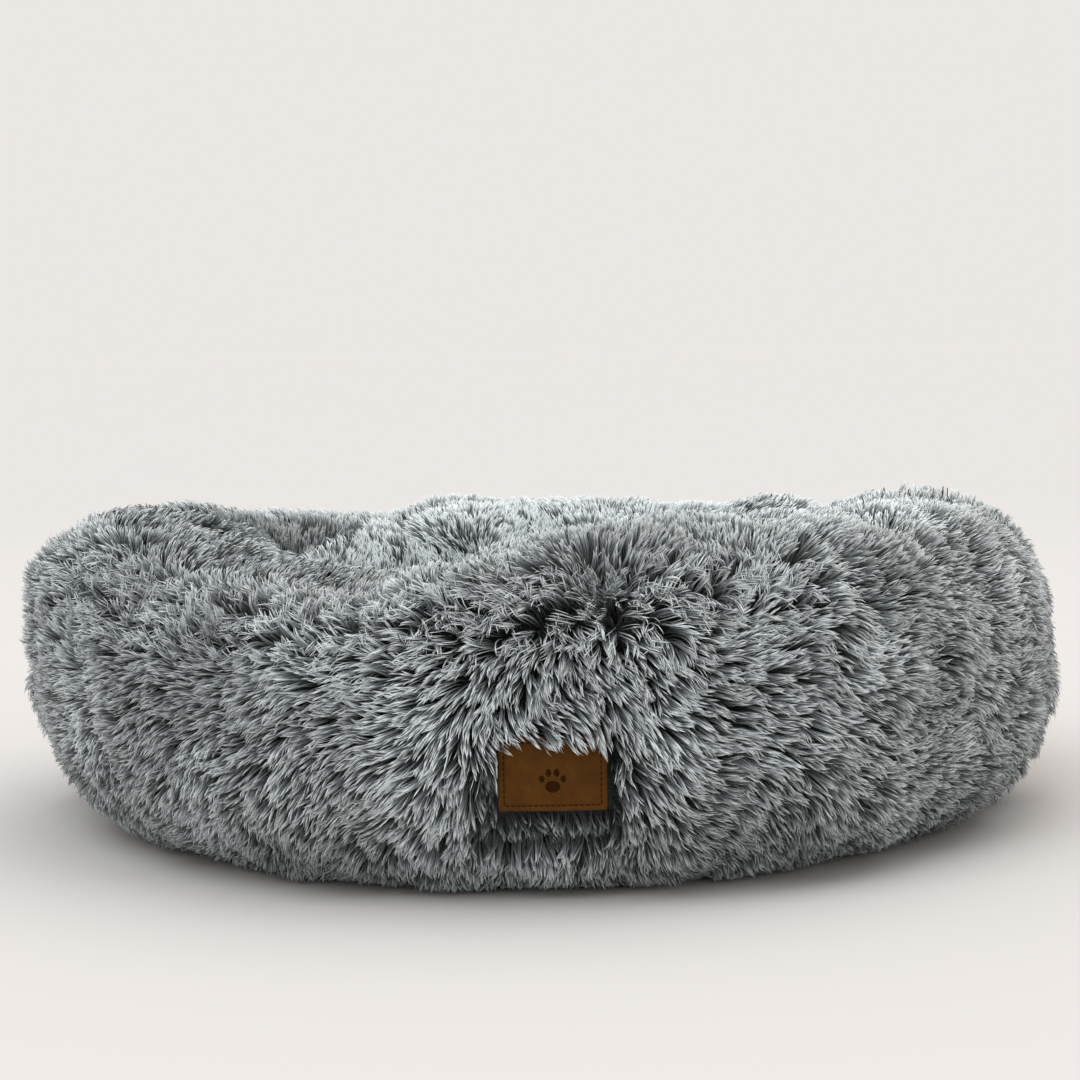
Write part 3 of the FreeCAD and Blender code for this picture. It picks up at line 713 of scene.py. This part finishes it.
def ring_fur(name, theta_from, theta_to, u_from, u_to, density):
    theta, u = scatter_ring(theta_from, theta_to, u_from, u_to, density)
    root = ring_point(theta, u)
    keep = ~in_tag(root, ROOT_GAP) & ~in_channel(root, ROOT_GAP) & (root[:, 2] > ROOT_LOW)
    theta, u = theta[keep], u[keep]
    root, normal, round_way, up_way = ring_frame(theta, u)
    comb, strength = comb_direction(theta, u, root, round_way, up_way)
    count = len(theta)
    round_length = theta * np.hypot(root[:, 0], root[:, 1]).mean()
    clump = 0
    numbers = {}
    for bunch, (pitch, seed, draw) in BUNCHES.items():
        offset, numbers[bunch] = near_clumps(round_length, u * WALL_STEP, pitch, seed)
        clump = clump + (round_way * offset[:, :1] + up_way * offset[:, 1:]) * draw
    wisp, lock = numbers["wisp"], numbers["lock"]

    # The matted band high on the front left, the rear, and the crest where the pile stands.
    messy = hill(u, 1.47, 0.17) * smooth(-1.25, -1.0, theta) * (1 - smooth(0.35, 0.6, theta))
    rear = smooth(math.radians(90), math.radians(118), np.abs(theta))
    standing = hill(u, 1.95, 0.25) * (1 - 0.7 * rear)
    lock_swing = (chance(lock, 1) - 0.5) * (0.7 + 1.6 * messy) + (chance(wisp, 1) - 0.5) * 0.7
    side = np.cross(comb, normal)
    comb = comb * np.cos(lock_swing)[:, None] + side * np.sin(lock_swing)[:, None]
    beside_tag = in_tag(root, TAG_TRIM) & (root[:, 2] < tag_high[2] - FRINGE)
    beside_tag &= root[:, 0] < tag_high[0] + TAG_TRIM / 3
    beside_zip = near_channel(root)

    room = PILE * (0.35 + 0.65 * smooth(0.0, 0.8, u)) * (1 - 0.55 * smooth(3.0, 3.4, u))
    uneven = 0.14 * chance(lock, 2) + 0.08 * chance(wisp, 2) + 0.06 * rise_noise(root) - 0.11
    uneven += rng.uniform(-0.16, 0.05, count)
    rise = room * (0.86 + (1 - 0.55 * rear) * uneven) * (1 + 0.05 * standing)
    rise = rise * np.where(beside_tag, 0.38, 1.0) * (1 - 0.42 * beside_zip)
    lean = HAIR_LEAN * (1 - 0.35 * standing) * (0.75 + 0.5 * chance(lock, 3))
    lean = lean * strength * rng.uniform(0.85, 1.15, count)
    lean = lean * np.where(beside_tag, 0.6, 1.0) * (1 - 0.72 * beside_zip)
    wave = (chance(wisp, 4) - 0.5) * 0.007 * (1 + 1.5 * messy) + rng.normal(0, 0.0010, count)
    # Fewer hairs to the square metre are broader ones.
    width = rng.uniform(*HAIR_WIDTH, count) * (math.sqrt(FRONT_DENSITY / density) * 0.92)
    tone = 0.08 * tone_noise(root) + 0.14 * (chance(lock, 5) - 0.5)
    tone += 0.16 * (chance(wisp, 5) - 0.5) + rng.normal(0, 0.08, count)
    tone -= DARK_HAIR * (rng.random(count) < 0.28)
    tone = TONE + tone * (1 - 0.35 * smooth(1.4, 1.8, u)) + pile_tone_with_painted_light(theta, u)
    # Painted shade: the pile is darker near the floor, and darker still in the trimmed hollow beside
    # and below the tag.
    tone -= 0.20 * (1 - smooth(0.02, 0.09, root[:, 2])) + 0.45 * beside_tag
    curled = messy > 0.30
    size = CURL_SIZE * messy * (0.4 + chance(lock, 7))
    begin = 2 * math.pi * chance(wisp, 6) + rng.normal(0, 0.35, count)

    given = (root, normal, comb, rise, lean, width, tone, clump, wave)
    for part_name, part in ((name, ~curled), (name.replace("fur", "curls"), curled)):
        if part.any():
            curl = (size[part], begin[part]) if part is curled else None
            thing = strands(part_name, *(value[part] for value in given), clear_of_all, curl)
            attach(thing, "bed")


def ring_backing():
    """The furred fabric's backing, one closed skin right round the ring."""
    turns, steps = 360, 110
    theta = circle(turns)
    grid_u, grid_t = np.meshgrid(np.linspace(0.0, 4.0, steps), theta)
    points = ring_point(grid_t.ravel(), grid_u.ravel())
    faces = turned_faces(turns, steps)
    for i in range(turns):
        here, there = i * steps, (i + 1) % turns * steps
        faces.append((here + steps - 1, there + steps - 1, there, here))
    thing = mesh_piece("ring_backing", points, faces, BACKING, "bed")
    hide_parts("outer_wall_fur", "inner_wall_fur", "bolster_casing", "bolster_filling")


# ---- the cushion

def cushion_point(theta, s):
    """The cushion's backing: s runs 0 at the seam, 1 at the shoulder and 2 at the middle."""
    side = CUSHION_R - PILE
    top = CUSHION_TOP - PILE
    edge_z = CUSHION_TOP - 0.034 - PILE * 0.8
    turn = np.clip(s - 1, 0, 1) * (math.pi / 2)
    radius = np.where(s < 1, side, side * (2 - s))
    reach = np.clip(radius / side, 0, 1)
    dome = edge_z + (top - edge_z) * (1 - reach ** 3.2) ** (1 / 1.6)
    height = np.where(s < 1, CUSHION_SEAM + (edge_z - CUSHION_SEAM) * s, dome)
    flat = turned(theta, radius, height)
    flat[:, 2] += 0.0025 * lump_noise(flat * 1.3) * np.clip(s, 0, 1) * (1 - 0.2 * np.sin(turn))
    return flat


def clear_of_ring(points):
    """The cushion's hair stays within its own width, and off the floor of the nest."""
    out = points.copy()
    radius = np.hypot(out[:, 0], out[:, 1])
    out[:, :2] *= np.minimum(1.0, (CUSHION_R - 0.001) / radius)[:, None]
    out[:, 2] = np.maximum(out[:, 2], CUSHION_SEAM - 0.012)
    return out


def cushion_fur(density):
    most = CUSHION_R
    total = int(density * 2 * math.pi * most * (most + 0.05))
    theta = rng.uniform(0, 2 * math.pi, total)
    s = rng.uniform(0, 2, total)
    weight = np.where(s < 1, 0.05 * most, (2 - s) * most * most)
    keep = rng.uniform(0, most * most, total) < weight
    theta, s = theta[keep], s[keep]
    step = 0.004
    root = cushion_point(theta, s)
    across = cushion_point(theta + step, s) - cushion_point(theta - step, s)
    along = cushion_point(theta, s + step) - cushion_point(theta, s - step)
    normal = unit(np.cross(unit(across, 1e-12), unit(along, 1e-12)), 1e-12)
    count = len(theta)
    swing = 0.40 * comb_patches(root) + 0.22 * comb_noise(root)
    drift = np.stack([np.cos(swing + 0.6), np.sin(swing + 0.6), np.zeros(count)], 1)
    over_edge = 1 - smooth(0.70, 1.25, s)
    drift = drift * (1 - 0.6 * over_edge)[:, None]
    drift[:, 2] -= over_edge
    comb = drift - normal * (drift * normal).sum(1)[:, None]
    strength = np.linalg.norm(comb, axis=1)
    comb /= strength[:, None] + 1e-9
    offset, lock = near_clumps(root[:, 0], root[:, 1], 0.0080, 11)
    clump = np.stack([offset[:, 0], offset[:, 1], np.zeros(count)], 1) * 0.7
    clump *= (s > 1.0)[:, None]
    rise = PILE * (0.78 + 0.16 * chance(lock, 2)) * rng.uniform(0.86, 1.06, count)
    lean = 0.018 * (0.7 + 0.5 * chance(lock, 3)) * rng.uniform(0.85, 1.15, count)
    lean = lean * np.clip(strength * 1.3, 0.10, 1.0)
    wave = (chance(lock, 4) - 0.5) * 0.008 + rng.normal(0, 0.001, count)
    width = rng.uniform(0.0010, 0.0018, count)
    tone = 0.74 + 0.08 * tone_noise(root) + 0.20 * (chance(lock, 5) - 0.5)
    tone += rng.normal(0, 0.09, count) - 0.34 * (rng.random(count) < 0.25)
    given = (root, normal, comb, rise, lean, width, tone, clump, wave)
    thing = strands("cushion_fur", *given, clear_of_ring)
    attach(thing, "cushion")


def cushion_backing():
    turns, steps = 160, 40
    theta = circle(turns)
    grid_s, grid_t = np.meshgrid(np.linspace(0.0, 1.985, steps), theta)
    points = cushion_point(grid_t.ravel(), grid_s.ravel())
    points = np.concatenate([points, [[0, 0, points[:, 2].max()], [0, 0, CUSHION_SEAM]]])
    faces = turned_faces(turns, steps)
    for i in range(turns):
        here, there = i * steps, (i + 1) % turns * steps
        faces.append((here + steps - 1, there + steps - 1, len(points) - 2))
        faces.append((there, here, len(points) - 1))
    thing = mesh_piece("cushion_backing", points, faces, BACKING, "cushion")
    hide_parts("cushion_top_fur", "cushion_casing", "cushion_filling")


# ---- finishes of the small pieces

def leather_material():
    """Vegetable-tanned leather: mottled brown, fine pores, gloss rubbed in patches."""
    look = Look("tag_leather")
    place = look.place()
    mottle = look.noise(place, 55, 6, 0.65)
    browns = [
        (0.30, (0.058, 0.021, 0.0014)), (0.55, (0.086, 0.032, 0.0022)), (0.80, (0.120, 0.046, 0.0040))
    ]
    pores = look.add("TexVoronoi", "Distance", {"Scale": 1500, "Vector": place})
    surface = look.math("ADD", pores, look.noise(place, 700, 5, 0.7))
    return look.finish({
        "Base Color": look.ramp(mottle, browns),
        "Normal": look.rough(surface, 0.45, 0.00018),
        "Roughness": look.stretch(mottle, 0.52, 0.78),
        "Specular IOR Level": 0.12,
    })


def woven_material(name, dark, light, pitch):
    """Plain weave: two crossing sets of threads, a little uneven."""
    look = Look(name)
    place = look.place()
    wave = {"Scale": 1 / pitch / 3.2, "Distortion": 0.6, "Detail": 1.0, "Vector": place}
    threads = [look.add("TexWave", "Fac", wave, bands_direction=axis) for axis in "XYZ"]
    weave = look.math("MULTIPLY", look.math("MAXIMUM", threads[0], threads[1]), threads[2])
    total = look.math("MULTIPLY_ADD", look.noise(place, 0.35 / pitch, 5), 0.7, weave)
    return look.finish({
        "Base Color": look.ramp(total, [(0.2, dark), (1.3 / 1.7, light)]),
        "Normal": look.rough(total, 0.5, pitch * 0.3),
        "Roughness": 0.85,
        "Sheen Weight": 0.25,
    })


def plain_material(name, colour, roughness, grain, metallic=0.0, spread=0.25, gloss=0.5):
    """Moulded, cast or spun stuff: slight mottling and a fine uneven surface."""
    look = Look(name)
    mottle = look.noise(look.place(), grain, 5)
    low = tuple(c * (1 - spread) for c in colour)
    high = tuple(min(1, c * (1 + spread)) for c in colour)
    return look.finish({
        "Base Color": look.ramp(mottle, [(0.3, low), (0.7, high)]),
        "Normal": look.rough(mottle, 0.4, 0.00005),
        "Roughness": look.stretch(mottle, max(0.05, roughness - 0.12), min(1.0, roughness + 0.12)),
        "Specular IOR Level": gloss,
        "Metallic": metallic,
    })


LEATHER = leather_material()
TAG_THREAD = plain_material("tag_thread", (0.030, 0.011, 0.002), 0.8, 2500, gloss=0.1)
BURNT = plain_material("burnt_leather", (0.026, 0.008, 0.0008), 0.85, 1800, gloss=0.06)
BASE_CLOTH = woven_material("base_cloth", (0.020, 0.022, 0.024), (0.075, 0.080, 0.085), 0.0008)
BINDING = woven_material("binding_tape", (0.012, 0.013, 0.014), (0.045, 0.048, 0.050), 0.0007)
TAPE = woven_material("zip_tape", (0.030, 0.033, 0.035), (0.110, 0.118, 0.122), 0.0006)
GRIP = plain_material("grip_rubber", (0.030, 0.031, 0.033), 0.75, 450)
SATIN = plain_material("label_satin", (0.62, 0.60, 0.56), 0.38, 900, spread=0.06)
NYLON = plain_material("zip_coil", (0.060, 0.065, 0.068), 0.36, 1500)
METAL = plain_material("zip_metal", (0.36, 0.35, 0.34), 0.30, 700, metallic=1.0, spread=0.15)


def dress(node, material, bevel):
    """Give a piece of the frame its finish, and round its edges where it is hard."""
    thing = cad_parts[node]
    if not thing.material_slots:
        thing.data.materials.append(material)
    for place in thing.material_slots:
        place.material = material
    if bevel:
        rounding = thing.modifiers.new("rounded_edges", "BEVEL")
        rounding.width = bevel
        rounding.segments = 2
        rounding.limit_method = "ANGLE"
        rounding.angle_limit = math.radians(35)
        rounding.harden_normals = False


def tubes(paths, radius, sides):
    """Round tubes with closed ends along many short paths of equal length, as points and faces."""
    points = []
    faces = []
    for path in paths:
        path = np.asarray(path, float)
        ahead = unit(np.gradient(path, axis=0))
        helper = np.array([0.0, 0.0, 1.0]) if abs(ahead[0][2]) < 0.8 else np.array([1.0, 0, 0])
        start = len(points)
        for point, way in zip(path, ahead):
            one = unit(np.cross(way, helper))
            two = np.cross(way, one)
            for turn in range(sides):
                angle = 2 * math.pi * turn / sides
                points.append(point + radius * (one * math.cos(angle) + two * math.sin(angle)))
        faces += grid_faces(len(path), sides, wrap=True, start=start)
        faces.append(tuple(range(start, start + sides)))
        last = start + (len(path) - 1) * sides
        faces.append(tuple(range(last + sides - 1, last - 1, -1)))
    return points, faces


# ---- the leather tag

TAG_CORNER = 0.0016
TAG_EDGE = 0.0008
TAG_CROWN = 0.0007
STITCH_GROOVE = 0.00030
PAW_DEPTH = 0.00045
STITCH_INSET = 0.0035
STITCH_PITCH = 0.0034
STITCH_LENGTH = 0.0024
STITCH_RADIUS = 0.00034
PAW_MIDDLE = (0.0, -0.0045)
# The paw print pressed into the tag: each pad's place and half sizes, in metres.
PAW_PADS = [
    (0.0, -0.0030, 0.0048, 0.0038),
    (-0.0064, 0.0018, 0.0017, 0.0024),
    (-0.0024, 0.0054, 0.0018, 0.0026),
    (0.0024, 0.0054, 0.0018, 0.0026),
    (0.0064, 0.0018, 0.0017, 0.0024),
]


def past_corner(across, up):
    """How far a place on the tag is past the start of its rounded corners, both ways."""
    past_x = np.abs(across) - (TAG_HALF[0] - TAG_CORNER)
    past_z = np.abs(up) - (TAG_HALF[1] - TAG_CORNER)
    return past_x, past_z, (past_x > 0) & (past_z > 0)


def tag_face(across, up):
    """How far the tag's face stands off its back at a place measured from its middle."""
    half_x, half_z = TAG_HALF
    past_x, past_z, in_corner = past_corner(across, up)
    to_edge = np.minimum(half_x - np.abs(across), half_z - np.abs(up))
    to_edge = np.where(in_corner, TAG_CORNER - np.hypot(past_x, past_z), to_edge)
    near_edge = np.clip(1 - to_edge / TAG_EDGE, 0, 1)
    face = TAG_THICK - TAG_EDGE + TAG_EDGE * np.sqrt(1 - near_edge ** 2)
    face = face + TAG_CROWN * (1 - (across / half_x) ** 2) * (1 - (up / half_z) ** 2)
    face = face - STITCH_GROOVE * hill(to_edge, STITCH_INSET, 0.0008)
    for x, z, wide, tall in PAW_PADS:
        reach = np.hypot((across - PAW_MIDDLE[0] - x) / wide, (up - PAW_MIDDLE[1] - z) / tall)
        face = face - PAW_DEPTH * (1 - smooth(0.86, 1.12, reach))
    return face


def tag_bend(across, up):
    """The tag follows the soft wall behind it: its ends lie a little further back."""
    return 0.0012 * (across / TAG_HALF[0]) ** 2 + 0.0008 * (up / TAG_HALF[1]) ** 2


def on_tag(across, up, lift=0.0):
    """Points on the tag's bent face, or lift in front of it."""
    depth = TAG_BACK - tag_face(across, up) + tag_bend(across, up) - lift
    return np.stack([TAG_MIDDLE[0] + across, depth, TAG_MIDDLE[1] + up], -1)


def leather_tag():
    half_x, half_z = TAG_HALF
    columns, rows = 150, 106
    side = np.linspace(-1, 1, columns)
    rise = np.linspace(-1, 1, rows)
    across, up = np.meshgrid(np.sign(side) * np.abs(side) ** 0.92 * half_x,
                             np.sign(rise) * np.abs(rise) ** 0.92 * half_z)
    past_x, past_z, in_corner = past_corner(across, up)
    pull = np.maximum(past_x, past_z) / (np.hypot(past_x, past_z) + 1e-12)
    across = np.where(in_corner, np.sign(across) * (half_x - TAG_CORNER + past_x * pull), across)
    up = np.where(in_corner, np.sign(up) * (half_z - TAG_CORNER + past_z * pull), up)
    front = on_tag(across, up)
    back = front.copy()
    back[..., 1] = TAG_BACK + tag_bend(across, up) - 0.0002
    count = rows * columns
    faces = grid_faces(rows, columns) + grid_faces(rows, columns, start=count, flip=True)
    border = list(range(columns))
    border += [i * columns + columns - 1 for i in range(1, rows)]
    border += [(rows - 1) * columns + j for j in range(columns - 2, -1, -1)]
    border += [i * columns for i in range(rows - 2, 0, -1)]
    for here, there in zip(border, border[1:] + border[:1]):
        faces.append((there, here, here + count, there + count))
    points = np.concatenate([front.reshape(-1, 3), back.reshape(-1, 3)])
    tag = mesh_piece("leather_tag_face", points, faces, LEATHER, "bed")
    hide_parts("leather_tag")


def paw_print():
    """The burnt floor of the paw print pressed into the tag, a skin just over the leather."""
    points, faces = [], []
    rings, columns = 7, 40
    theta = circle(columns)
    for x, z, wide, tall in PAW_PADS:
        start = len(points)
        for ring in range(1, rings + 1):
            reach = 0.93 * ring / rings
            across = PAW_MIDDLE[0] + x + wide * reach * np.cos(theta)
            up = PAW_MIDDLE[1] + z + tall * reach * np.sin(theta)
            points += on_tag(across, up, 0.00006).tolist()
        faces += grid_faces(rings, columns, wrap=True, start=start, flip=True)
        faces.append(tuple(range(start, start + columns)))
    mesh_piece("paw_print", points, faces, BURNT, "bed")


def tag_stitches():
    """Separate stitches round the tag, each dipping into its holes."""
    half_x = TAG_HALF[0] - STITCH_INSET
    half_z = TAG_HALF[1] - STITCH_INSET
    corners = [(-half_x, -half_z), (half_x, -half_z), (half_x, half_z), (-half_x, half_z)]
    steps = np.linspace(-0.5, 0.5, 7)
    lift = 0.0004 * np.cos(steps * math.pi * 1.15) - 0.0001
    paths = []
    for start, stop in zip(np.array(corners), np.array(corners[1:] + corners[:1])):
        length = np.linalg.norm(stop - start)
        way = (stop - start) / length
        count = round(length / STITCH_PITCH)
        for k in range(count):
            middle = start + way * length * (k + 0.5) / count
            place = middle + way * (steps * STITCH_LENGTH)[:, None]
            paths.append(on_tag(place[:, 0], place[:, 1], lift))
    points, faces = tubes(paths, STITCH_RADIUS, 8)
    thread = mesh_piece("tag_stitches", points, faces, TAG_THREAD, "bed")
    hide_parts("tag_stitching")


# ---- the zip

COIL_PITCH = 0.0016
COIL_WIRE = 0.00034
COIL_GAP = 0.00055
SEAM_PITCH = 0.0040
SEAM_STITCH = 0.0027


def zip_coil(name, node, upper):
    """One side of the chain: a row of nylon loops sewn along the edge of its tape."""
    low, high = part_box(node)
    way = 1 if upper else -1
    radius_out = coil_r - COIL_WIRE
    radius_in = high[1] - (coil_r - tape_high[1]) + COIL_WIRE
    head = ZIP_MIDDLE + (COIL_GAP + COIL_WIRE) * way
    heel = (high[2] if upper else low[2]) - COIL_WIRE * way
    reach = math.asin(high[0] / coil_r) if high[0] < coil_r else math.pi / 4
    count = int(2 * reach * coil_r / COIL_PITCH)
    turns = np.linspace(-0.5, 0.5, 9) * math.pi
    height = heel + (head - heel) * np.cos(turns)
    radius = (radius_out + radius_in) / 2 + (radius_out - radius_in) / 2 * np.sin(turns)
    paths = []
    for k in range(count):
        angle = math.pi - reach + (2 * reach) * (k + (0.5 if upper else 1.0)) / (count + 1)
        slant = angle + (turns / math.pi) * 0.35 * COIL_PITCH / coil_r
        paths.append(turned(slant, radius, height))
    points, faces = tubes(paths, COIL_WIRE, 6)
    coil = mesh_piece(name, points, faces, NYLON, "bed")
    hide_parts(node)


def tape_seam(name, height):
    """The thread that sews a tape into the cover, as short stitches."""
    radius = tape_high[1] + 0.0002
    reach = math.radians(CHANNEL_ANGLE - 1)
    count = int(2 * reach * radius / SEAM_PITCH)
    turns = np.linspace(-0.5, 0.5, 6)
    lift = radius + 0.0003 * np.cos(turns * math.pi) - 0.0002
    paths = []
    for k in range(count):
        angle = math.pi - reach + 2 * reach * (k + 0.5) / count
        paths.append(turned(angle + turns * SEAM_STITCH / radius, lift, np.full(6, height)))
    points, faces = tubes(paths, 0.0003, 6)
    mesh_piece(name, points, faces, TAPE, "bed")


# ---- the cushion's underside

UNDER_GATHERS = 46
PIPING_RADIUS = 0.0015


def cushion_tray():
    """Cloth under the cushion, puckered where it is gathered into the seam."""
    bottom, rim = tray_low[2], tray_high[2]
    outside = tray_high[0]
    turn = rim - bottom
    flat_to = outside - turn
    profile = [(flat_to * k / 8, bottom) for k in range(1, 9)]
    for k in range(1, 9):
        angle = k / 8 * math.pi / 2
        profile.append((flat_to + turn * math.sin(angle), rim - turn * math.cos(angle)))
    columns = 460
    theta = circle(columns)
    fold = np.sin(UNDER_GATHERS * theta + 2.2 * np.sin(3 * theta))
    fine = np.sin(2.7 * UNDER_GATHERS * theta + 1.3 * np.sin(5 * theta))
    points = []
    for radius, height in profile:
        share = smooth(0.55, 1.0, radius / outside)
        inward = share * (0.0011 * (fold - 1) + 0.0004 * (fine - 1))
        lift = -0.3 * inward * (height > bottom + 0.002)
        points += turned(theta, radius + inward, height + lift).tolist()
    faces = grid_faces(len(profile), columns, wrap=True)
    faces += [(len(points), (j + 1) % columns, j) for j in range(columns)]
    points.append((0, 0, bottom))
    tray = mesh_piece("cushion_under_cloth", points, faces, BASE_CLOTH, "cushion")
    thickness = tray.modifiers.new("cloth_thickness", "SOLIDIFY")
    thickness.thickness = 0.0010
    thickness.offset = 0
    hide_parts("cushion_underside")


def cushion_piping():
    """A corded edge that closes the seam between the cushion's fur and its underside."""
    columns, sides = 360, 10
    angle, turn = np.meshgrid(np.arange(columns) / columns, np.arange(sides) / sides, indexing="ij")
    angle, turn = 2 * math.pi * angle.ravel(), 2 * math.pi * turn.ravel()
    radius = tray_high[0] + PIPING_RADIUS * np.cos(turn)
    points = turned(angle, radius, tray_high[2] + PIPING_RADIUS * np.sin(turn))
    faces = [
        tuple(v % len(points) for v in face)
        for face in grid_faces(columns + 1, sides, wrap=True)
    ]
    mesh_piece("cushion_piping", points, faces, BINDING, "cushion")


# ---- camera, light and floor

def add_camera():
    camera = bpy.data.objects.new("camera", bpy.data.cameras.new("camera"))
    bpy.context.collection.objects.link(camera)
    camera.data.sensor_width = 36
    camera.data.lens = 75.2
    camera.location = (0.0015, -1.69, 0.338)
    camera.rotation_euler = (math.radians(90 - 4.92), math.radians(1.0), 0)
    bpy.context.scene.camera = camera


def add_sun(name, towards, strength, softness, colour):
    """A soft far light: towards is where it stands as seen from the object."""
    lamp = bpy.data.lights.new(name, "SUN")
    lamp.energy = strength
    lamp.angle = math.radians(softness)
    lamp.color = colour
    thing = bpy.data.objects.new(name, lamp)
    bpy.context.collection.objects.link(thing)
    thing.rotation_euler = Vector(towards).to_track_quat("Z", "Y").to_euler()


BACKDROP = (0.831, 0.799, 0.776)


def add_studio():
    floor = bpy.data.meshes.new("floor")
    half = 60
    corners = [(-half, -half, 0), (half, -half, 0), (half, half, 0), (-half, half, 0)]
    floor.from_pydata(corners, [], [(0, 1, 2, 3)])
    thing = bpy.data.objects.new("floor", floor)
    bpy.context.collection.objects.link(thing)
    thing.location.z = -0.0002
    look = Look("studio_floor")
    # Painted light: the floor is painted lighter near the bed, offsetting the shade the bed throws on
    # it, and fades to a plainer tone far off.
    far = look.nodes.new("ShaderNodeVectorMath")
    far.operation = "LENGTH"
    look.feed(far, {0: look.place()})
    span = {"Value": far.outputs["Value"], "From Min": 0.6, "From Max": 3.5}
    painted_light_fade = [(0.0, (0.640, 0.635, 0.632)), (1.0, (0.601, 0.598, 0.5975))]
    colour = look.ramp(look.add("MapRange", "Result", span), painted_light_fade, "EASE")
    floor.materials.append(
        look.finish({"Base Color": colour, "Roughness": 1.0, "Specular IOR Level": 0.0})
    )
    world = bpy.data.worlds.new("studio")
    bpy.context.scene.world = world
    world.use_nodes = True
    background = world.node_tree.nodes["Background"]
    background.inputs["Color"].default_value = (*BACKDROP, 1)
    background.inputs["Strength"].default_value = 1.0
    add_sun("key", (-0.40, -0.50, 1.0), 1.25, 45, (0.775, 0.805, 0.825))
    add_sun("top", (0.35, 0.20, 1.0), 1.15, 60, (0.86, 0.785, 0.725))


bpy.context.scene.view_settings.view_transform = "Standard"
add_camera()
add_studio()
ring_backing()
cushion_backing()

SECTORS = 8
for sector in range(SECTORS):
    start = -math.pi + sector * 2 * math.pi / SECTORS
    stop = start + 2 * math.pi / SECTORS
    density = FRONT_DENSITY if abs(start + stop) / 2 < math.radians(90) else REAR_DENSITY
    ring_fur(f"outer_fur_{sector + 1}", start, stop, 0.02, 2.0, density)
    ring_fur(f"inner_fur_{sector + 1}", start, stop, 2.0, 3.9, INNER_DENSITY)
cushion_fur(REAR_DENSITY)
leather_tag()
paw_print()
tag_stitches()
zip_coil("zip_teeth_upper", "zip_coil_upper", True)
zip_coil("zip_teeth_lower", "zip_coil_lower", False)
tape_seam("tape_stitches_upper", tape_top - 0.0025)
tape_seam("tape_stitches_lower", tape_low[2] + 0.0025)
cushion_tray()
cushion_piping()
for node, material, bevel in (
    ("grip_coating", GRIP, 0), ("base_panel", BASE_CLOTH, 0), ("base_binding", BINDING, 0),
    ("nest_floor", BASE_CLOTH, 0), ("care_label", SATIN, 0), ("zip_tape_upper", TAPE, 0),
    ("zip_tape_lower", TAPE, 0), ("zip_top_stop", METAL, 0.0003),
    ("zip_bottom_stop", METAL, 0.0003), ("zip_slider", METAL, 0.0004), ("zip_pull", METAL, 0.0005),
):
    dress(node, material, bevel)
